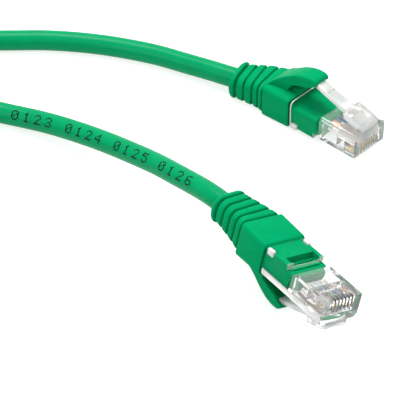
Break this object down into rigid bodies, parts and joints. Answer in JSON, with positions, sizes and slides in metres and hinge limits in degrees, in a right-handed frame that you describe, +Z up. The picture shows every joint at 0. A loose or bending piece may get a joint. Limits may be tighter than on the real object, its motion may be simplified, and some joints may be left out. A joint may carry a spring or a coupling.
{
  "type": "ethernet patch cable",
  "caption": "Round network patch cord with a clear modular plug at each end, snag-proof latch hoods and ribbed boots, its spare length coiled and tied.",
  "frame": {"origin": "on the resting surface, midway between the outermost points of the plugs and boots", "axes": "+Z up from the surface; +Y runs away from the viewer, from plug B towards plug A; +X to the viewer's right, where both plug noses point"},
  "size_m": [0.1968, 0.123, 0.0186],
  "materials": {
    "clear_polycarbonate": "clear moulded polycarbonate, polished",
    "clear_latch": "clear moulded polycarbonate, slightly frosted lever",
    "green_boot": "soft moulded PVC, satin",
    "green_hood": "soft moulded PVC, satin",
    "green_jacket": "extruded PVC jacket, satin",
    "contact_gold": "gold-plated phosphor bronze, thin plating",
    "black_strap": "woven hook-and-loop strap",
    "wire_white_orange": "extruded wire insulation",
    "wire_orange": "extruded wire insulation",
    "wire_white_green": "extruded wire insulation",
    "wire_blue": "extruded wire insulation",
    "wire_white_blue": "extruded wire insulation",
    "wire_green": "extruded wire insulation",
    "wire_white_brown": "extruded wire insulation",
    "wire_brown": "extruded wire insulation"
  },
  "bodies": {
    "cable": {"housing_a": "clear_polycarbonate", "boot_a": "green_boot", "contact_a_1": "contact_gold", "contact_a_2": "contact_gold", "contact_a_3": "contact_gold", "contact_a_4": "contact_gold", "contact_a_5": "contact_gold", "contact_a_6": "contact_gold", "contact_a_7": "contact_gold", "contact_a_8": "contact_gold", "wire_a_white_orange": "wire_white_orange", "wire_a_orange": "wire_orange", "wire_a_white_green": "wire_white_green", "wire_a_blue": "wire_blue", "wire_a_white_blue": "wire_white_blue", "wire_a_green": "wire_green", "wire_a_white_brown": "wire_white_brown", "wire_a_brown": "wire_brown", "housing_b": "clear_polycarbonate", "boot_b": "green_boot", "contact_b_1": "contact_gold", "contact_b_2": "contact_gold", "contact_b_3": "contact_gold", "contact_b_4": "contact_gold", "contact_b_5": "contact_gold", "contact_b_6": "contact_gold", "contact_b_7": "contact_gold", "contact_b_8": "contact_gold", "wire_b_white_orange": "wire_white_orange", "wire_b_orange": "wire_orange", "wire_b_white_green": "wire_white_green", "wire_b_blue": "wire_blue", "wire_b_white_blue": "wire_white_blue", "wire_b_green": "wire_green", "wire_b_white_brown": "wire_white_brown", "wire_b_brown": "wire_brown", "jacket_leg_a": "green_jacket", "jacket_leg_b": "green_jacket", "jacket_coil": "green_jacket", "coil_tie_1": "black_strap", "coil_tie_2": "black_strap"},
    "latch_a": {"latch_a": "clear_latch"},
    "hood_a": {"hood_a": "green_hood"},
    "latch_b": {"latch_b": "clear_latch"},
    "hood_b": {"hood_b": "green_hood"}
  },
  "joints": [
    {"name": "hood_a_press", "type": "hinge", "parent": "cable", "child": "hood_a", "pos_m": [-0.00366, 0.04187, 0.01], "axis": [0.6903, 0.7236, 0], "range_deg": [0, 14], "stiffness_Nm_per_rad": 0.02},
    {"name": "latch_a_press", "type": "hinge", "parent": "cable", "child": "latch_a", "pos_m": [0.01776, 0.02144, 0.0099], "axis": [-0.6903, -0.7236, 0], "range_deg": [0, 12.4], "stiffness_Nm_per_rad": 0.005},
    {"name": "hood_b_press", "type": "hinge", "parent": "cable", "child": "hood_b", "pos_m": [-0.01124, -0.02559, 0.00764], "axis": [-0.7813, -0.5718, 0.2504], "range_deg": [0, 14], "stiffness_Nm_per_rad": 0.02},
    {"name": "latch_b_press", "type": "hinge", "parent": "cable", "child": "latch_b", "pos_m": [0.00626, -0.04946, 0.00774], "axis": [0.7813, 0.5718, -0.2504], "range_deg": [0, 12.4], "stiffness_Nm_per_rad": 0.005}
  ],
  "couplings": [
    {"joint": "latch_a_press", "follows": "hood_a_press", "ratio": 0.885},
    {"joint": "latch_b_press", "follows": "hood_b_press", "ratio": 0.885}
  ]
}
